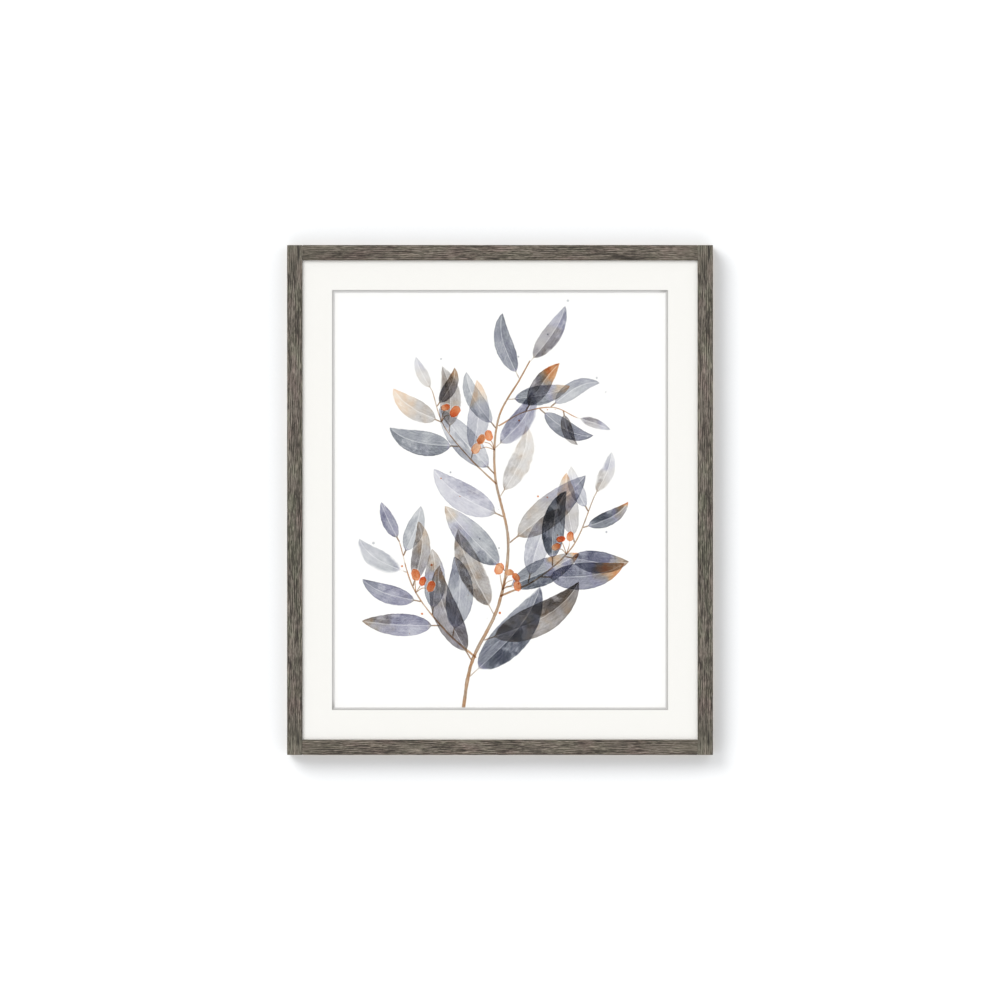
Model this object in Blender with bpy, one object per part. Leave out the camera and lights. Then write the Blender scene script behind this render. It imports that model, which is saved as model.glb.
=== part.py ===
"""A framed and matted art print that hangs on a wall, in metres.

X runs right and Z up for someone who faces the picture, and the picture looks along -Y.
The flat back of the wooden frame is the plane Y = 0. The origin is the point on that
plane where the nail in the wall meets the middle notch of the sawtooth hanger.
"""

import math

import bmesh
import bpy

INCH = 0.0254
GAP = 0.0003  # air between two pieces that touch

# Picture opening and moulding
WINDOW_W = 16 * INCH  # mat window, where its bevel starts
WINDOW_H = 20 * INCH
MAT_BORDER = 0.0356  # mat that shows between the window and the frame
FACE = 0.0186  # width of the moulding's face
DEPTH = 1 * INCH  # front of the frame to its back
LIP = 0.0015  # wood in front of the glazing
REBATE = 0.0064  # width of the step that holds the panels
EASE = 0.0006  # softened edges of the moulding

SIGHT_W = WINDOW_W + 2 * MAT_BORDER  # opening between the lips
SIGHT_H = WINDOW_H + 2 * MAT_BORDER
OUTER_W = SIGHT_W + 2 * FACE
OUTER_H = SIGHT_H + 2 * FACE
POCKET_W = SIGHT_W + 2 * REBATE  # space behind the lips
POCKET_H = SIGHT_H + 2 * REBATE

HANG_DROP = 0.009  # top of the frame down to the hanger's notches
TOP = HANG_DROP
BOTTOM = TOP - OUTER_H
MIDDLE = (TOP + BOTTOM) / 2

# Stack of panels behind the lip, front to back
PANEL_PLAY = 0.0008  # panels are cut smaller than the pocket by this, each side
PANEL_W = POCKET_W - 2 * PANEL_PLAY
PANEL_H = POCKET_H - 2 * PANEL_PLAY
GLAZING_T = 0.0012
MAT_T = 0.003  # thick board, so its 45 degree bevel is as wide
PRINT_T = 0.0005
PRINT_MARGIN = 0.012  # paper hidden behind the mat, each side
BACKING_T = 0.003

GLAZING_FRONT = -DEPTH + LIP + GAP
MAT_FRONT = GLAZING_FRONT + GLAZING_T + GAP
PRINT_FRONT = MAT_FRONT + MAT_T + GAP
BACKING_FRONT = PRINT_FRONT + PRINT_T + GAP
TAB_FRONT = BACKING_FRONT + BACKING_T + GAP

# Steel tabs that hold the panels in, pressed into the walls of the pocket
TAB_T = 0.0005
TAB_W = 0.008
TAB_REACH = 0.0085  # over the backing
TAB_BITE = 0.003  # into the wood
TABS_PER_STILE = 4
TABS_PER_RAIL = 3

# Wire staples across each butt joint, on the back
STAPLE_L = 0.010
STAPLE_WIRE_T = 0.0006
STAPLE_WIRE_W = 0.0012
STAPLE_LEG = 0.007
STAPLE_EDGE = 0.0034  # outer edge of the frame to the first staple
STAPLE_PITCH = 0.0052

# Sawtooth hanger and its two nails
HANGER_L = 0.048
HANGER_H = 0.0066  # above the notches
HANGER_T = 0.0008
HANGER_LIFT = 0.0013  # the toothed middle stands this far off the end tabs
HANGER_FLAT_FROM = 0.017  # from the middle to the flat end tabs
TOOTH_PITCH = 0.003
TOOTH_DEPTH = 0.0015
NOTCHES_EACH_SIDE = 5
NAIL_X = 0.0205
NAIL_Z = 0.0033
NAIL_SHANK_R = 0.0007
NAIL_HEAD_R = 0.0019
NAIL_DEEP = 0.009

# Rubber bumpers that keep the lower corners off the wall
BUMPER_R = 0.005
BUMPER_FACE_R = 0.004
BUMPER_OUT = 0.0033  # back of the frame to the wall
BUMPER_EDGE = 0.0061  # outer side of the frame to the bumper's middle
BUMPER_RISE = 0.026  # bottom of the frame to the bumper's middle

OVERCUT = 0.001  # how far a cutter runs past the surface it opens


def linear(level):
    """One 8-bit sRGB level as linear light."""
    share = level / 255
    if share <= 0.04045:
        return share / 12.92
    return ((share + 0.055) / 1.055) ** 2.4


def material(name, rgb, roughness, metallic=0.0, alpha=1.0):
    """A Principled BSDF of one 8-bit sRGB colour."""
    made = bpy.data.materials.new(name)
    made.use_nodes = True
    shader = made.node_tree.nodes["Principled BSDF"]
    shader.inputs["Base Color"].default_value = (*[linear(c) for c in rgb], 1)
    shader.inputs["Roughness"].default_value = roughness
    shader.inputs["Metallic"].default_value = metallic
    shader.inputs["Alpha"].default_value = alpha
    return made


def add_object(name, bm, skin=None):
    """Turns a bmesh into a named object with outward faces."""
    bmesh.ops.recalc_face_normals(bm, faces=bm.faces)
    mesh = bpy.data.meshes.new(name)
    bm.to_mesh(mesh)
    bm.free()
    made = bpy.data.objects.new(name, mesh)
    bpy.context.scene.collection.objects.link(made)
    if skin is not None:
        mesh.materials.append(skin)
    return made


def add_box(bm, low, high):
    """Adds a box to a bmesh from its lowest and highest corners."""
    size = [h - l for l, h in zip(low, high)]
    corner = bmesh.ops.create_cube(bm, size=1.0)["verts"]
    bmesh.ops.scale(bm, vec=size, verts=corner)
    bmesh.ops.translate(bm, vec=[(l + h) / 2 for l, h in zip(low, high)], verts=corner)


def box(name, low, high, skin):
    """A plain box."""
    bm = bmesh.new()
    add_box(bm, low, high)
    return add_object(name, bm, skin)


def panel(name, width, height, front, thickness, skin):
    """An upright sheet, centred in the frame."""
    low = (-width / 2, front, MIDDLE - height / 2)
    high = (width / 2, front + thickness, MIDDLE + height / 2)
    return box(name, low, high, skin)


def bridge(bm, loops):
    """Side faces from each loop of vertices to the next."""
    count = len(loops[0])
    for first, second in zip(loops, loops[1:]):
        for i in range(count):
            j = (i + 1) % count
            bm.faces.new((first[i], first[j], second[j], second[i]))


def loft(bm, loops):
    """A closed skin through loops of vertices, with an end face at each end."""
    bridge(bm, loops)
    bm.faces.new(loops[0])
    bm.faces.new(reversed(loops[-1]))


def add_turned(bm, profile, x, z, sides):
    """Adds a solid turned about an axis along Y to a bmesh; profile is (radius, y)."""
    angles = [2 * math.pi * i / sides for i in range(sides)]
    loft(
        bm,
        [
            [bm.verts.new((x + r * math.cos(a), y, z + r * math.sin(a))) for a in angles]
            for r, y in profile
        ],
    )


def turned(name, profile, x, z, sides, skin):
    """A turned solid with its round faces shaded smooth."""
    bm = bmesh.new()
    add_turned(bm, profile, x, z, sides)
    made = add_object(name, bm, skin)
    made.data.shade_smooth()
    made.data.set_sharp_from_angle(angle=math.radians(35))
    return made


def cutter(name, bm):
    """A shape that only cuts others."""
    made = add_object(name, bm)
    made.hide_render = True
    made.display_type = "WIRE"
    return made


def cut(target, tool):
    """Takes the tool's shape out of the target."""
    modifier = target.modifiers.new(tool.name, "BOOLEAN")
    modifier.operation = "DIFFERENCE"
    modifier.solver = "EXACT"
    modifier.object = tool


def tab_places():
    """Each retaining tab's name, its point on the pocket's wall and the way into the wood."""
    places = []
    for side, sign in (("left", -1), ("right", 1)):
        for i in range(TABS_PER_STILE):
            z = MIDDLE + POCKET_H * ((i + 0.5) / TABS_PER_STILE - 0.5)
            places.append((f"retaining_tab_{side}_{i + 1}", (sign * POCKET_W / 2, z), (sign, 0)))
    for side, sign in (("bottom", -1), ("top", 1)):
        for i in range(TABS_PER_RAIL):
            x = POCKET_W * ((i + 0.5) / TABS_PER_RAIL - 0.5)
            z = MIDDLE + sign * POCKET_H / 2
            places.append((f"retaining_tab_{side}_{i + 1}", (x, z), (0, sign)))
    return places


def staple_places():
    """Each joint staple's name and its middle, on the back of the seam."""
    places = []
    for side, sign in (("left", -1), ("right", 1)):
        for i in range(2):
            offset = STAPLE_EDGE + i * STAPLE_PITCH
            places.append((f"joint_staple_top_{side}_{i + 1}", sign * SIGHT_W / 2, TOP - offset))
            places.append((f"joint_staple_bottom_{side}_{i + 1}", sign * SIGHT_W / 2, BOTTOM + offset))
    return places


def pocket_cutter():
    """The space behind the lips, open at the back."""
    bm = bmesh.new()
    add_box(
        bm,
        (-POCKET_W / 2, -DEPTH + LIP, MIDDLE - POCKET_H / 2),
        (POCKET_W / 2, OVERCUT, MIDDLE + POCKET_H / 2),
    )
    return cutter("pocket_cutter", bm)


def fastener_cutter():
    """Slots for the tabs and the staples' legs, and pilot holes for the hanger's nails."""
    bm = bmesh.new()
    for _, (x, z), (out_x, out_z) in tab_places():
        half_x = TAB_W / 2 + GAP if out_z else (TAB_BITE + GAP + OVERCUT) / 2
        half_z = TAB_W / 2 + GAP if out_x else (TAB_BITE + GAP + OVERCUT) / 2
        middle_x = x + out_x * (TAB_BITE + GAP - OVERCUT) / 2
        middle_z = z + out_z * (TAB_BITE + GAP - OVERCUT) / 2
        add_box(
            bm,
            (middle_x - half_x, TAB_FRONT - GAP, middle_z - half_z),
            (middle_x + half_x, TAB_FRONT + TAB_T + GAP, middle_z + half_z),
        )
    for _, x, z in staple_places():
        for sign in (-1, 1):
            leg_x = x + sign * (STAPLE_L - STAPLE_WIRE_T) / 2
            half_x = STAPLE_WIRE_T / 2 + GAP
            half_z = STAPLE_WIRE_W / 2 + GAP
            add_box(
                bm,
                (leg_x - half_x, -STAPLE_LEG - GAP, z - half_z),
                (leg_x + half_x, OVERCUT, z + half_z),
            )
    for sign in (-1, 1):
        radius = NAIL_SHANK_R + GAP
        add_turned(bm, [(radius, -NAIL_DEEP - GAP), (radius, OVERCUT)], sign * NAIL_X, NAIL_Z, 12)
    return cutter("fastener_cutter", bm)


def frame_members():
    """Two full-height stiles with the rails butted between them."""
    wood = material("driftwood_moulding", (108, 100, 91), 0.62)
    half_w = OUTER_W / 2
    half_sight = SIGHT_W / 2
    spans = {
        "frame_stile_left": (-half_w, -half_sight, BOTTOM, TOP),
        "frame_stile_right": (half_sight, half_w, BOTTOM, TOP),
        "frame_rail_top": (-half_sight + GAP, half_sight - GAP, TOP - FACE, TOP),
        "frame_rail_bottom": (-half_sight + GAP, half_sight - GAP, BOTTOM, BOTTOM + FACE),
    }
    tools = [pocket_cutter(), fastener_cutter()]
    for name, (left, right, low, high) in spans.items():
        member = box(name, (left, -DEPTH, low), (right, 0, high), wood)
        ease = member.modifiers.new("eased_edges", "BEVEL")
        ease.width = EASE
        ease.segments = 2
        for tool in tools:
            cut(member, tool)


def glazing():
    """Clear acrylic sheet."""
    clear = material("clear_acrylic", (244, 247, 246), 0.05, alpha=0.12)
    panel("glazing", PANEL_W, PANEL_H, GLAZING_FRONT, GLAZING_T, clear)


def mat_board():
    """Thick white mat with a window whose edge is bevelled at 45 degrees."""
    board = material("mat_white", (250, 249, 245), 0.85)
    back = MAT_FRONT + MAT_T
    sizes = [
        (PANEL_W, PANEL_H, MAT_FRONT),
        (WINDOW_W, WINDOW_H, MAT_FRONT),
        (WINDOW_W - 2 * MAT_T, WINDOW_H - 2 * MAT_T, back),
        (PANEL_W, PANEL_H, back),
    ]
    corners = ((-1, -1), (1, -1), (1, 1), (-1, 1))
    bm = bmesh.new()
    loops = [
        [bm.verts.new((sx * w / 2, y, MIDDLE + sz * h / 2)) for sx, sz in corners]
        for w, h, y in sizes
    ]
    bridge(bm, loops + [loops[0]])
    add_object("mat_board", bm, board)


def print_sheet():
    """Heavy watercolour paper that carries the picture, hinged behind the mat."""
    paper = material("art_paper", (250, 250, 249), 0.8)
    width = WINDOW_W + 2 * PRINT_MARGIN
    height = WINDOW_H + 2 * PRINT_MARGIN
    panel("print_sheet", width, height, PRINT_FRONT, PRINT_T, paper)


def backing_board():
    """Brown hardboard that closes the back."""
    hardboard = material("hardboard", (112, 80, 54), 0.7)
    panel("backing_board", PANEL_W, PANEL_H, BACKING_FRONT, BACKING_T, hardboard)


def retaining_tabs():
    """Flexible steel points, flat on the backing, tapered where they enter the wood."""
    steel = material("tab_steel", (150, 150, 148), 0.35, metallic=1.0)
    half = TAB_W / 2
    outline = [
        (-TAB_REACH, 0.5 * half),
        (-TAB_REACH + 0.5 * half, half),
        (0, half),
        (TAB_BITE, 0.35 * half),
    ]
    outline += [(along, -across) for along, across in reversed(outline)]
    for name, (x, z), (out_x, out_z) in tab_places():
        bm = bmesh.new()
        loops = [
            [
                bm.verts.new((x + along * out_x + across * out_z, y, z + along * out_z + across * out_x))
                for along, across in outline
            ]
            for y in (TAB_FRONT, TAB_FRONT + TAB_T)
        ]
        loft(bm, loops)
        add_object(name, bm, steel)


def joint_staples():
    """Wire staples over the butt joints, their legs in the wood."""
    wire = material("staple_wire", (168, 167, 162), 0.4, metallic=1.0)
    half = STAPLE_L / 2
    inner = half - STAPLE_WIRE_T
    outline = [
        (-half, -STAPLE_LEG),
        (-inner, -STAPLE_LEG),
        (-inner, GAP),
        (inner, GAP),
        (inner, -STAPLE_LEG),
        (half, -STAPLE_LEG),
        (half, GAP + STAPLE_WIRE_T),
        (-half, GAP + STAPLE_WIRE_T),
    ]
    for name, x, z in staple_places():
        bm = bmesh.new()
        loops = [
            [bm.verts.new((x + across, y, z + side * STAPLE_WIRE_W / 2)) for across, y in outline]
            for side in (-1, 1)
        ]
        loft(bm, loops)
        add_object(name, bm, wire)


def sawtooth_hanger():
    """Toothed steel strip with its middle raised, nailed down at both ends."""
    steel = material("hanger_steel", (172, 168, 158), 0.35, metallic=1.0)
    toothed = NOTCHES_EACH_SIDE * TOOTH_PITCH
    stations = [(-HANGER_L / 2, 0, 0), (-HANGER_FLAT_FROM, 0, 0)]
    for i in range(-2 * NOTCHES_EACH_SIDE, 2 * NOTCHES_EACH_SIDE + 1):
        tip = TOOTH_DEPTH if i % 2 else 0
        stations.append((toothed * i / (2 * NOTCHES_EACH_SIDE), -tip, HANGER_LIFT))
    stations += [(HANGER_FLAT_FROM, 0, 0), (HANGER_L / 2, 0, 0)]
    bm = bmesh.new()
    loops = []
    for x, low, lift in stations:
        near = GAP + lift
        far = near + HANGER_T
        section = ((near, low), (near, HANGER_H), (far, HANGER_H), (far, low))
        loops.append([bm.verts.new((x, y, z)) for y, z in section])
    loft(bm, loops)
    strip = add_object("sawtooth_hanger", bm, steel)

    holes = bmesh.new()
    radius = NAIL_SHANK_R + GAP
    for sign in (-1, 1):
        profile = [(radius, -OVERCUT), (radius, GAP + HANGER_T + OVERCUT)]
        add_turned(holes, profile, sign * NAIL_X, NAIL_Z, 12)
    cut(strip, cutter("hanger_hole_cutter", holes))


def hanger_nails():
    """Two round-headed nails through the hanger's end tabs."""
    steel = material("nail_steel", (186, 182, 170), 0.3, metallic=1.0)
    seat = GAP + HANGER_T + GAP
    profile = [
        (0.2 * NAIL_SHANK_R, -NAIL_DEEP),
        (NAIL_SHANK_R, -NAIL_DEEP + 2 * NAIL_SHANK_R),
        (NAIL_SHANK_R, seat),
        (NAIL_HEAD_R, seat),
        (NAIL_HEAD_R, seat + 0.0003),
        (0.8 * NAIL_HEAD_R, seat + 0.0007),
        (0.4 * NAIL_HEAD_R, seat + 0.0009),
    ]
    for side, sign in (("left", -1), ("right", 1)):
        turned(f"hanger_nail_{side}", profile, sign * NAIL_X, NAIL_Z, 16, steel)


def wall_bumpers():
    """Rubber buttons on the lower ends of the stiles."""
    rubber = material("bumper_rubber", (62, 62, 61), 0.8)
    profile = [
        (BUMPER_R, GAP),
        (BUMPER_R, 0.7 * BUMPER_OUT),
        (0.5 * (BUMPER_R + BUMPER_FACE_R), 0.92 * BUMPER_OUT),
        (BUMPER_FACE_R, BUMPER_OUT),
    ]
    for side, sign in (("left", -1), ("right", 1)):
        x = sign * (OUTER_W / 2 - BUMPER_EDGE)
        turned(f"wall_bumper_{side}", profile, x, BOTTOM + BUMPER_RISE, 24, rubber)


def clear_scene():
    """Starts from nothing."""
    for thing in list(bpy.data.objects):
        bpy.data.objects.remove(thing, do_unlink=True)


def main():
    clear_scene()
    frame_members()
    glazing()
    mat_board()
    print_sheet()
    backing_board()
    retaining_tabs()
    joint_staples()
    sawtooth_hanger()
    hanger_nails()
    wall_bumpers()


main()
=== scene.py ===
"""Looks of the framed art print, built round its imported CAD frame.

Everything is in metres in the frame's own axes: X right, Z up, the picture looks along -Y,
and Y = 0 is the flat back of the wooden frame.
"""

import math

import bmesh
import bpy
import numpy as np
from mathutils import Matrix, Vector


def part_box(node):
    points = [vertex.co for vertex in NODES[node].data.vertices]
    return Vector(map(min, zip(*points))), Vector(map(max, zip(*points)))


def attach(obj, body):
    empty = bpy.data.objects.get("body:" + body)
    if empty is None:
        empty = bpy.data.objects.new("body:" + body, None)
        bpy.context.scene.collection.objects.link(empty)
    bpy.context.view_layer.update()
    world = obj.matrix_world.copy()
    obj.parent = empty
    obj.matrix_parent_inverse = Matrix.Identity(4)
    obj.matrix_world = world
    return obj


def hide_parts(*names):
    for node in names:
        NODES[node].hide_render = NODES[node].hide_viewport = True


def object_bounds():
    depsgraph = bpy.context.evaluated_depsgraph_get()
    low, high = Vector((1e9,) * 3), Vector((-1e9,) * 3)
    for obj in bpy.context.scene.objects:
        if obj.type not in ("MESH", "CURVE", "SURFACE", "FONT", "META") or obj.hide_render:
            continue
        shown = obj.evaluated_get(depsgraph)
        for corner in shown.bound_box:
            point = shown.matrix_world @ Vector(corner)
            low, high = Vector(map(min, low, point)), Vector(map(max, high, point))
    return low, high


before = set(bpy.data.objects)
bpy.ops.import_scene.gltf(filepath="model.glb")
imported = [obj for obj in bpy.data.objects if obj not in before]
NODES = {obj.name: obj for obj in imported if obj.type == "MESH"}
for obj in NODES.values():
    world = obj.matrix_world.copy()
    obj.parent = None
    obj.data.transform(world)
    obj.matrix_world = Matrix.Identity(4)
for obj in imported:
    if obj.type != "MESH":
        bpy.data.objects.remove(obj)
CAD_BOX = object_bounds()

MM = 0.001
LENS = 200.0
SENSOR = 36.0
FRAME_SHARE = 0.51  # of the picture's side that the frame's height takes

WORLD_LIGHT = 0.96
SUN_LIGHT = 1.58
SUN_SOFTNESS = math.radians(34)
SUN_FROM = Vector((-0.8, -1.0, 0.8))


# ---------------------------------------------------------------- noise and grids


def lattice(i, j, seed):
    """A repeatable random number from 0 to 1 at each whole-number point."""
    mask = 0x7FFFFFFF
    h = (i * 374761393 + j * 668265263 + seed * 974634777) & mask
    h = ((h ^ (h >> 13)) * 1274126177) & mask
    h = ((h ^ (h >> 15)) * 1103515245) & mask
    return (h ^ (h >> 16)) / mask


def noise(u, v, seed):
    """Smooth value noise from 0 to 1."""
    iu = np.floor(u).astype(np.int64)
    iv = np.floor(v).astype(np.int64)
    fu, fv = u - iu, v - iv
    fu = fu * fu * (3 - 2 * fu)
    fv = fv * fv * (3 - 2 * fv)
    low = lattice(iu, iv, seed) * (1 - fu) + lattice(iu + 1, iv, seed) * fu
    high = lattice(iu, iv + 1, seed) * (1 - fu) + lattice(iu + 1, iv + 1, seed) * fu
    return low * (1 - fv) + high * fv


def layered(u, v, seed, octaves, fade=0.5):
    """Noise summed over octaves, from 0 to 1."""
    total, share, weight = 0.0, 0.0, 1.0
    for k in range(octaves):
        total = total + weight * noise(u * 2**k + 17.3 * k, v * 2**k - 9.1 * k, seed + k)
        share += weight
        weight *= fade
    return total / share


def smoothstep(low, high, x):
    t = np.clip((x - low) / (high - low), 0, 1)
    return t * t * (3 - 2 * t)


def attribute(mesh, name, *parts):
    """Stores three numbers at each point of a mesh; a lone one is stored three times."""
    values = np.stack(parts if len(parts) == 3 else parts * 3, axis=1)
    made = mesh.attributes.new(name, "FLOAT_VECTOR", "POINT")
    made.data.foreach_set("vector", values.astype(np.float32).ravel())


# ---------------------------------------------------------------- shader helpers


def linear(level):
    share = level / 255
    return share / 12.92 if share <= 0.04045 else ((share + 0.055) / 1.055) ** 2.4


def colour(*rgb):
    """An 8-bit sRGB colour as the linear colour that a socket takes."""
    return (*[linear(c) for c in rgb], 1.0)


class Shader:
    """A material's node tree, with short calls for the nodes it is built from."""

    def __init__(self, name):
        self.material = bpy.data.materials.new(name)
        self.material.use_nodes = True
        self.tree = self.material.node_tree
        self.bsdf = self.tree.nodes["Principled BSDF"]
        self.output = self.tree.nodes["Material Output"]

    def node(self, kind, inputs=(), **settings):
        made = self.tree.nodes.new(kind)
        for key, value in settings.items():
            setattr(made, key, value)
        for key, value in dict(inputs).items():
            self.plug(made.inputs[key], value)
        return made

    def plug(self, socket, value):
        """Links a node or socket to an input, or sets the input's own value."""
        if isinstance(value, bpy.types.Node):
            value = value.outputs[0]
        if isinstance(value, bpy.types.NodeSocket):
            self.tree.links.new(value, socket)
        elif value is not None:
            socket.default_value = value

    def set(self, **values):
        """Sets the Principled BSDF's inputs; an underscore stands for a space."""
        for key, value in values.items():
            self.plug(self.bsdf.inputs[key.replace("_", " ")], value)

    def math(self, operation, a, b=None, c=None):
        made = self.tree.nodes.new("ShaderNodeMath")
        made.operation = operation
        for socket, value in zip(made.inputs, (a, b, c)):
            self.plug(socket, value)
        return made.outputs[0]

    def vector(self, operation, a, b=None, scale=None):
        made = self.tree.nodes.new("ShaderNodeVectorMath")
        made.operation = operation
        self.plug(made.inputs[0], a)
        self.plug(made.inputs[1], b)
        if scale is not None:
            self.plug(made.inputs["Scale"], scale)
        return made.outputs[0]

    def attr(self, name):
        """A mesh attribute of three numbers."""
        return self.node("ShaderNodeAttribute", attribute_name=name).outputs["Vector"]

    def split(self, vector):
        return self.node("ShaderNodeSeparateXYZ", {"Vector": vector}).outputs

    def place(self, unit=1.0):
        """Object coordinates, counted in a unit that is given in metres."""
        where = self.node("ShaderNodeTexCoord").outputs["Object"]
        made = self.node("ShaderNodeMapping", {"Vector": where, "Scale": (1 / unit,) * 3})
        return made.outputs[0]

    def noise(self, where, scale=1.0, *, detail, roughness=0.5, distortion=0.0):
        made = self.node(
            "ShaderNodeTexNoise",
            {"Vector": where, "Scale": scale, "Detail": detail, "Roughness": roughness,
             "Distortion": distortion},
        )
        return made.outputs[0]

    def between(self, value, low, high, to_low=0.0, to_high=1.0, smooth=True):
        """Maps low to high onto to_low to to_high, and holds the ends."""
        made = self.node(
            "ShaderNodeMapRange",
            {"Value": value, "From Min": low, "From Max": high, "To Min": to_low, "To Max": to_high},
            interpolation_type="SMOOTHSTEP" if smooth else "LINEAR",
        )
        return made.outputs[0]

    def mix(self, factor, a, b, blend="MIX"):
        made = self.node("ShaderNodeMix", data_type="RGBA", blend_type=blend)
        self.plug(made.inputs["Factor"], factor)
        self.plug(made.inputs[6], a)
        self.plug(made.inputs[7], b)
        return made.outputs[2]

    def ramp(self, value, stops):
        """A colour for each value, between stops of a position and its colour."""
        made = self.node("ShaderNodeValToRGB", {"Fac": value})
        elements = made.color_ramp.elements
        while len(elements) < len(stops):
            elements.new(0.5)
        for element, (position, shade) in zip(elements, stops):
            element.position = position
            element.color = shade
        return made.outputs[0]

    def bump(self, height, distance, strength):
        made = self.node("ShaderNodeBump", {"Height": height, "Distance": distance,
                                            "Strength": strength})
        self.plug(self.bsdf.inputs["Normal"], made.outputs[0])


# ---------------------------------------------------------------- the wooden frame

STILES = ("frame_stile_left", "frame_stile_right")
RAILS = ("frame_rail_top", "frame_rail_bottom")
FRONT_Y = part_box(STILES[0])[0].y
BACK_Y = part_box(STILES[0])[1].y
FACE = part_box(STILES[0])[1].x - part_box(STILES[0])[0].x
LIP = 1.5 * MM  # wood in front of the glazing
EASED = 0.7 * MM  # just past the softened edges
JOINT = 0.3 * MM  # gap that the rails' ends close
ON_SIDE = 0.3 * MM  # a point this near a side or an end counts as on it
BARE_STRIP = 0.65 * MM  # strip of the sides, next to the back, that the finish doesn't reach
HAIR = 0.05 * MM  # slack in telling the points of a softened edge from the flats'
BRUSHED = 0.22 * MM  # depth of the brushed grain
COMB = 2.42 * MM  # pitch of the wire brush's lines
CRACK_FROM = 13.6 * MM  # the cracks' distance from a stile's left side
CRACK_WIDTH = 0.95 * MM
TOUCHING = 0.001 * MM  # points this near are one in the CAD's mesh and in the cuts
WELDED = 0.002 * MM  # and these after the carving
ACROSS = 0.62 * MM  # size of the mesh's cells across the grain and along it
ALONG = 2.6 * MM


def grain_field(s, t, seed):
    """Brushed grain from 0, a groove, to 1, a ridge, in short wavy streaks along s."""
    t = t + 2.2 * MM * (layered(s / (19 * MM), t / (8 * MM), seed, 3) - 0.5)
    combed = 0.5 * np.cos(2 * math.pi * t / COMB)
    combed *= 0.2 + 1.5 * smoothstep(0.3, 0.7, layered(s / (12 * MM), t / (4 * MM), seed + 5, 2))
    fine = layered(s / (5 * MM), t / MM, seed + 11, 2)
    long = layered(s / (34 * MM), t / (1.2 * MM), seed + 23, 2)
    return smoothstep(0.2, 0.8, 0.58 * fine + 0.42 * long + 0.52 * combed)


def crack_field(s, t, length):
    """Drying cracks: one that wanders a little near each end."""
    deep = np.zeros_like(s)
    middle = CRACK_FROM + 0.3 * MM * np.sin(s / (5 * MM))
    for where, reach in ((20 * MM, 9 * MM), (length - 8 * MM, 14 * MM)):
        deep += np.exp(-(((t - middle) / CRACK_WIDTH) ** 2) - ((s - where) / reach) ** 4)
    return np.clip(1.25 * deep, 0, 1)


def cut_grid(bm, axis, low, high, step):
    """Cuts a mesh into slices of about one step along an axis."""
    count = max(1, round((high - low) / step))
    normal = [1.0 if k == axis else 0.0 for k in range(3)]
    for i in range(1, count):
        point = [0.0, 0.0, 0.0]
        point[axis] = low + (high - low) * i / count
        everything = bm.verts[:] + bm.edges[:] + bm.faces[:]
        bmesh.ops.bisect_plane(bm, geom=everything, plane_co=point, plane_no=normal,
                               dist=TOUCHING)


def member_mesh(name, along):
    """The CAD member's own shape, cut finely enough to carve the grain into it."""
    low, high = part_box(name)
    bm = bmesh.new()
    bm.from_mesh(NODES[name].data)
    bmesh.ops.remove_doubles(bm, verts=bm.verts, dist=TOUCHING)
    across = 2 - along
    cut_grid(bm, along, low[along], high[along], ALONG)
    cut_grid(bm, across, low[across], high[across], ACROSS)
    cut_grid(bm, 1, low.y, high.y, 1.5 * ACROSS)
    bmesh.ops.triangulate(bm, faces=[f for f in bm.faces if len(f.verts) > 4])
    mesh = bpy.data.meshes.new(name.replace("frame_", "moulding_"))
    bm.to_mesh(mesh)
    bm.free()
    return mesh


def triples(collection, key):
    """Three numbers of each item of a mesh, such as its points' places, as rows."""
    values = np.empty(len(collection) * 3, np.float32)
    collection.foreach_get(key, values)
    return values.reshape(-1, 3).astype(float)


def outer_at_low(name):
    """True if the picture's outer edge is on the member's left or lower side."""
    return name in (STILES[0], RAILS[1])


def surfaces(name, a, d, to_end):
    """Which points have the finish, are on a sawn end, on a joint's face, or beside a joint."""
    low_side, high_side = a < ON_SIDE, a > FACE - ON_SIDE
    outer, inner = (low_side, high_side) if outer_at_low(name) else (high_side, low_side)
    end = to_end < ON_SIDE
    near_joint = (to_end < FACE) & (name in STILES)
    joint = inner & near_joint
    lip = inner & (d < LIP + HAIR)
    back = d > BACK_Y - FRONT_Y - BARE_STRIP
    finished = ((d < EASED) | outer | lip | joint | end) & ~back
    sawn = end & (name in STILES)  # the rails' ends are hidden
    return finished, sawn, joint, near_joint


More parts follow.
